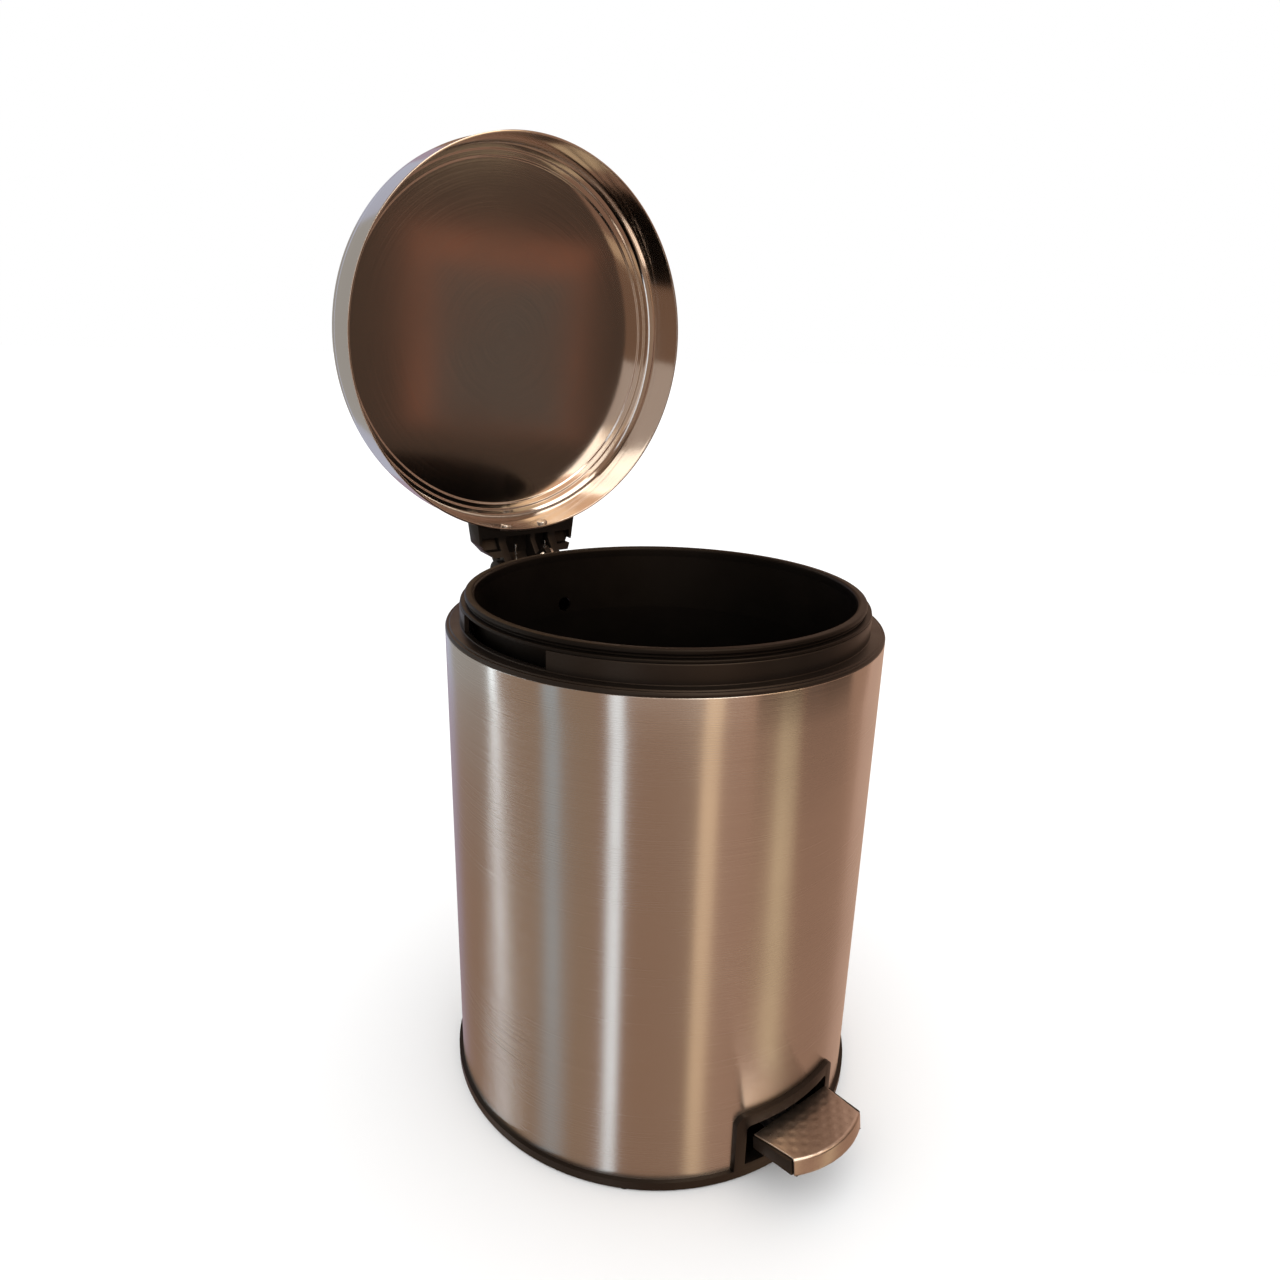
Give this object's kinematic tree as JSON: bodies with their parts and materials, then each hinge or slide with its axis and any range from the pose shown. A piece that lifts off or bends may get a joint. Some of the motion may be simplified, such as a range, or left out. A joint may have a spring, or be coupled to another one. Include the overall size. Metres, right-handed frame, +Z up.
{
  "type": "pedal bin",
  "caption": "Round pedal bin with a brushed steel shell, a hinged steel lid, a black lift-out bucket and a foot pedal that works the lid through a rod.",
  "frame": {"origin": "on the floor, on the shell's vertical axis", "axes": "+Z up, -Y towards the pedal and the user, +Y towards the hinge, +X to the user's right"},
  "size_m": [0.209, 0.2843, 0.4611],
  "materials": {
    "brushed_shell": "horizontally brushed stainless steel with a slight warm tint",
    "lid_steel": "satin stainless steel, spun rings inside",
    "pedal_steel": "brushed steel with pressed dimples",
    "black_plastic": "satin black moulded plastic",
    "pedal_plastic": "satin black moulded plastic",
    "bucket_plastic": "satin black moulded plastic",
    "rubber": "matt dark rubber",
    "bright_steel": "bright nickel-plated steel",
    "zinc_steel": "zinc-plated steel"
  },
  "bodies": {
    "bin": {"outer_shell": "brushed_shell", "top_collar": "black_plastic", "base": "black_plastic", "base_plate": "black_plastic", "rubber_feet": "rubber", "pedal_frame": "black_plastic", "hinge_housing": "black_plastic", "hinge_cover": "black_plastic", "housing_screws": "bright_steel", "cover_screws": "bright_steel", "hinge_pin": "bright_steel", "pin_caps": "bright_steel", "pedal_axle": "bright_steel", "axle_clips": "bright_steel", "lever_buffer": "rubber"},
    "lid": {"lid_shell": "lid_steel", "lid_bracket": "zinc_steel", "lid_rivets": "bright_steel", "hinge_arm": "black_plastic", "arm_screws": "bright_steel", "torsion_springs": "bright_steel"},
    "rod": {"push_rod": "bright_steel", "rod_clips": "bright_steel"},
    "pedal": {"pedal_lever": "zinc_steel", "pedal_body": "pedal_plastic", "pedal_plate": "pedal_steel", "pedal_screws": "bright_steel"},
    "bucket": {"inner_bucket": "bucket_plastic"}
  },
  "joints": [
    {"name": "lid_hinge", "type": "hinge", "parent": "bin", "child": "lid", "pos_m": [0, 0.123, 0.237], "axis": [1, 0, 0], "range_deg": [0, 86]},
    {"name": "rod_pivot", "type": "hinge", "parent": "lid", "child": "rod", "pos_m": [0, 0.11203, 0.24723], "axis": [1, 0, 0], "range_deg": [-86.5, 0.5]},
    {"name": "pedal_pivot", "type": "hinge", "parent": "bin", "child": "pedal", "pos_m": [0, -0.078, 0.0185], "axis": [1, 0, 0], "range_deg": [-7.1, 0.2]},
    {"name": "bucket_lift", "type": "slide", "parent": "bin", "child": "bucket", "axis": [0, 0, 1], "range_m": [0, 0.01]}
  ],
  "couplings": [
    {"joint": "rod_pivot", "follows": "lid_hinge", "ratio": -1},
    {"joint": "pedal_pivot", "follows": "lid_hinge", "ratio": -0.079768}
  ]
}
